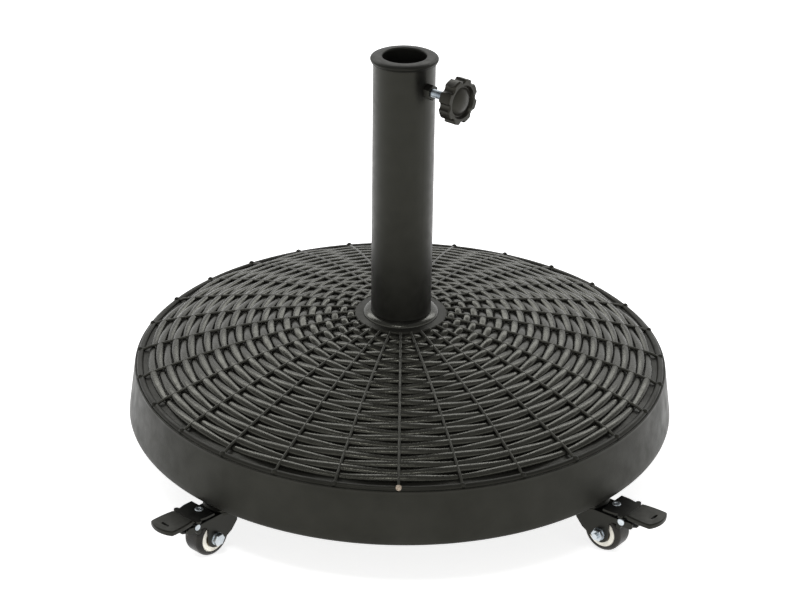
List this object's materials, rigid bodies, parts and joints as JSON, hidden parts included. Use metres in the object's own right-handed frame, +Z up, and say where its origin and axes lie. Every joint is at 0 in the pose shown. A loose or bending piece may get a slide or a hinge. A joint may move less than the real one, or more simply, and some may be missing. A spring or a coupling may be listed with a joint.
{
  "type": "parasol base",
  "caption": "Round weighted parasol base with a woven-effect domed top, a steel pole socket with a clamp knob, and swivel castors with foot brakes.",
  "frame": {"origin": "on the disc's axis at floor level, under the middle of the base", "axes": "+Z up along the pole socket; the castors stand on the diagonals of X and Y; the clamp knob points between +X and -Y"},
  "size_m": [0.5198, 0.5198, 0.4072],
  "materials": {
    "woven_shell": "moulded weave, satin",
    "concrete": "cast concrete",
    "black_tray": "moulded, matt",
    "black_enamel": "powder coated, semi-gloss",
    "gloss_collar": "moulded, glossy",
    "cap_plastic": "moulded, satin",
    "knob_plastic": "moulded, glossy",
    "nylon": "natural nylon",
    "zinc": "bright zinc plate",
    "brass": "turned",
    "bearing_steel": "polished",
    "fork_enamel": "black enamel, semi-gloss",
    "tyre_rubber": "smooth polyurethane tread",
    "white_hub": "cream white, moulded",
    "bearing_gold": "yellow passivated, greased",
    "pedal_plastic": "moulded, satin"
  },
  "bodies": {
    "base": {"weight_shell": "woven_shell", "ballast_core": "concrete", "base_tray": "black_tray", "castor_inserts": "brass", "pole_tube": "black_enamel", "foot_bolt": "zinc", "hub_collar": "gloss_collar", "top_cap": "cap_plastic", "clamp_nut": "black_enamel", "front_left_castor_stem": "fork_enamel", "front_right_castor_stem": "fork_enamel", "rear_right_castor_stem": "fork_enamel", "rear_left_castor_stem": "fork_enamel"},
    "clamp_pad": {"clamp_pad": "nylon"},
    "clamp_knob": {"clamp_screw": "zinc", "knob": "knob_plastic"},
    "front_left_swivel": {"front_left_castor_balls": "bearing_steel", "front_left_castor_fork": "fork_enamel", "front_left_axle_bolt": "zinc", "front_left_axle_nut": "zinc", "front_left_brake_pin": "zinc"},
    "front_left_wheel": {"front_left_tyre": "tyre_rubber", "front_left_wheel_hub": "white_hub", "front_left_wheel_bearing": "bearing_gold"},
    "front_left_brake": {"front_left_brake_lever": "fork_enamel", "front_left_pedal_sleeve": "pedal_plastic", "front_left_lever_rivet": "zinc"},
    "front_right_swivel": {"front_right_castor_balls": "bearing_steel", "front_right_castor_fork": "fork_enamel", "front_right_axle_bolt": "zinc", "front_right_axle_nut": "zinc", "front_right_brake_pin": "zinc"},
    "front_right_wheel": {"front_right_tyre": "tyre_rubber", "front_right_wheel_hub": "white_hub", "front_right_wheel_bearing": "bearing_gold"},
    "front_right_brake": {"front_right_brake_lever": "fork_enamel", "front_right_pedal_sleeve": "pedal_plastic", "front_right_lever_rivet": "zinc"},
    "rear_right_swivel": {"rear_right_castor_balls": "bearing_steel", "rear_right_castor_fork": "fork_enamel", "rear_right_axle_bolt": "zinc", "rear_right_axle_nut": "zinc", "rear_right_brake_pin": "zinc"},
    "rear_right_wheel": {"rear_right_tyre": "tyre_rubber", "rear_right_wheel_hub": "white_hub", "rear_right_wheel_bearing": "bearing_gold"},
    "rear_right_brake": {"rear_right_brake_lever": "fork_enamel", "rear_right_pedal_sleeve": "pedal_plastic", "rear_right_lever_rivet": "zinc"},
    "rear_left_swivel": {"rear_left_castor_balls": "bearing_steel", "rear_left_castor_fork": "fork_enamel", "rear_left_axle_bolt": "zinc", "rear_left_axle_nut": "zinc", "rear_left_brake_pin": "zinc"},
    "rear_left_wheel": {"rear_left_tyre": "tyre_rubber", "rear_left_wheel_hub": "white_hub", "rear_left_wheel_bearing": "bearing_gold"},
    "rear_left_brake": {"rear_left_brake_lever": "fork_enamel", "rear_left_pedal_sleeve": "pedal_plastic", "rear_left_lever_rivet": "zinc"}
  },
  "joints": [
    {"name": "clamp_travel", "type": "slide", "parent": "base", "child": "clamp_pad", "axis": [-0.7373, 0.6756, 0], "range_m": [0, 0.0075]},
    {"name": "knob_turn", "type": "hinge", "parent": "clamp_pad", "child": "clamp_knob", "pos_m": [0.02949, -0.02702, 0.3796], "axis": [-0.7373, 0.6756, 0], "range_deg": [0, 2160]},
    {"name": "front_left_swivel_turn", "type": "hinge", "parent": "base", "child": "front_left_swivel", "pos_m": [-0.16758, -0.16758, 0.042], "axis": [0, 0, 1], "continuous": true},
    {"name": "front_left_wheel_roll", "type": "hinge", "parent": "front_left_swivel", "child": "front_left_wheel", "pos_m": [-0.18074, -0.18074, 0.019], "axis": [0.7071, -0.7071, 0], "continuous": true},
    {"name": "front_left_brake_press", "type": "hinge", "parent": "front_left_swivel", "child": "front_left_brake", "pos_m": [-0.19656, -0.19656, 0.0406], "axis": [0.7071, -0.7071, 0], "range_deg": [0, 12]},
    {"name": "front_right_swivel_turn", "type": "hinge", "parent": "base", "child": "front_right_swivel", "pos_m": [0.16758, -0.16758, 0.042], "axis": [0, 0, 1], "continuous": true},
    {"name": "front_right_wheel_roll", "type": "hinge", "parent": "front_right_swivel", "child": "front_right_wheel", "pos_m": [0.18151, -0.17991, 0.019], "axis": [0.6626, 0.749, 0], "continuous": true},
    {"name": "front_right_brake_press", "type": "hinge", "parent": "front_right_swivel", "child": "front_right_brake", "pos_m": [0.19827, -0.19473, 0.0406], "axis": [0.6626, 0.749, 0], "range_deg": [0, 12]},
    {"name": "rear_right_swivel_turn", "type": "hinge", "parent": "base", "child": "rear_right_swivel", "pos_m": [0.16758, 0.16758, 0.042], "axis": [0, 0, 1], "continuous": true},
    {"name": "rear_right_wheel_roll", "type": "hinge", "parent": "rear_right_swivel", "child": "rear_right_wheel", "pos_m": [0.18119, 0.18027, 0.019], "axis": [-0.682, 0.7314, 0], "continuous": true},
    {"name": "rear_right_brake_press", "type": "hinge", "parent": "rear_right_swivel", "child": "rear_right_brake", "pos_m": [0.19755, 0.19553, 0.0406], "axis": [-0.682, 0.7314, 0], "range_deg": [0, 12]},
    {"name": "rear_left_swivel_turn", "type": "hinge", "parent": "base", "child": "rear_left_swivel", "pos_m": [-0.16758, 0.16758, 0.042], "axis": [0, 0, 1], "continuous": true},
    {"name": "rear_left_wheel_roll", "type": "hinge", "parent": "rear_left_swivel", "child": "rear_left_wheel", "pos_m": [-0.1813, 0.18015, 0.019], "axis": [-0.6756, -0.7373, 0], "continuous": true},
    {"name": "rear_left_brake_press", "type": "hinge", "parent": "rear_left_swivel", "child": "rear_left_brake", "pos_m": [-0.19779, 0.19526, 0.0406], "axis": [-0.6756, -0.7373, 0], "range_deg": [0, 12]}
  ],
  "couplings": [
    {"joint": "knob_turn", "follows": "clamp_travel", "rad_per_m": 5026.5}
  ]
}
